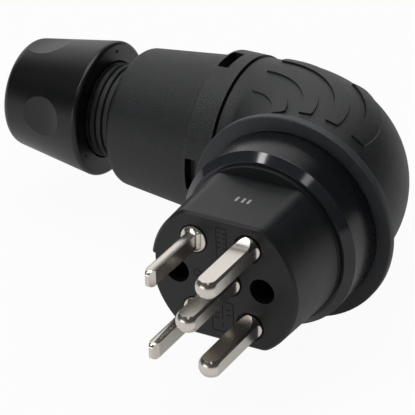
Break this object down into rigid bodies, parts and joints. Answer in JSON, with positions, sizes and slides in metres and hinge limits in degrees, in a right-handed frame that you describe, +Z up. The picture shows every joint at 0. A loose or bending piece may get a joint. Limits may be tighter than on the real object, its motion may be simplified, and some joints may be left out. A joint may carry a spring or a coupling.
{
  "type": "five-pin right-angled power plug",
  "caption": "Right-angled black plug with three wide and two slim flat-sided pins, a round flange, a ribbed elbow and a screwed cable gland nut, without its cable.",
  "frame": {"origin": "the middle of the plug's flat face, where the pins leave it", "axes": "-Y the way the pins point, -X along the cable arm to its open end, +Z up, square to the two flats of the plug body"},
  "size_m": [0.1373, 0.1214, 0.061],
  "materials": {
    "insert_plastic": "black moulded thermoplastic, fine spark-eroded grain",
    "glossy_plastic": "polished black moulded thermoplastic",
    "housing_plastic": "black moulded thermoplastic, satin grain",
    "nut_plastic": "black moulded thermoplastic, smooth satin",
    "cage_plastic": "black flexible thermoplastic",
    "seal_rubber": "soft black rubber",
    "plated_brass": "solid brass, bright nickel plated",
    "screw_steel": "zinc plated steel"
  },
  "bodies": {
    "plug_body": {"pin_carrier": "insert_plastic", "pin_retainer": "insert_plastic", "pin_upper_left": "plated_brass", "pin_lower_left": "plated_brass", "pin_upper_right": "plated_brass", "pin_lower_right": "plated_brass", "pin_earth": "plated_brass", "terminal_screw_upper_left": "screw_steel", "terminal_screw_lower_left": "screw_steel", "terminal_screw_upper_right": "screw_steel", "terminal_screw_lower_right": "screw_steel", "terminal_screw_earth": "screw_steel", "housing_screw_left": "screw_steel", "housing_screw_right": "screw_steel", "collar": "glossy_plastic", "elbow_housing": "housing_plastic", "latch_ring": "housing_plastic", "cable_sleeve": "housing_plastic", "clamp_cage": "cage_plastic", "seal_grommet": "seal_rubber"},
    "pressure_ring": {"slip_ring": "cage_plastic"},
    "cap_nut": {"gland_nut": "nut_plastic"}
  },
  "joints": [
    {"name": "nut_travel", "type": "slide", "parent": "plug_body", "child": "pressure_ring", "axis": [1, 0, 0], "range_m": [-0.0076, 0.0083]},
    {"name": "nut_turn", "type": "hinge", "parent": "pressure_ring", "child": "cap_nut", "pos_m": [-0.09, 0.072, 0], "axis": [1, 0, 0], "range_deg": [-1260, 1380]}
  ],
  "couplings": [
    {"joint": "nut_travel", "follows": "nut_turn", "m_per_rad": 0.00034377}
  ]
}
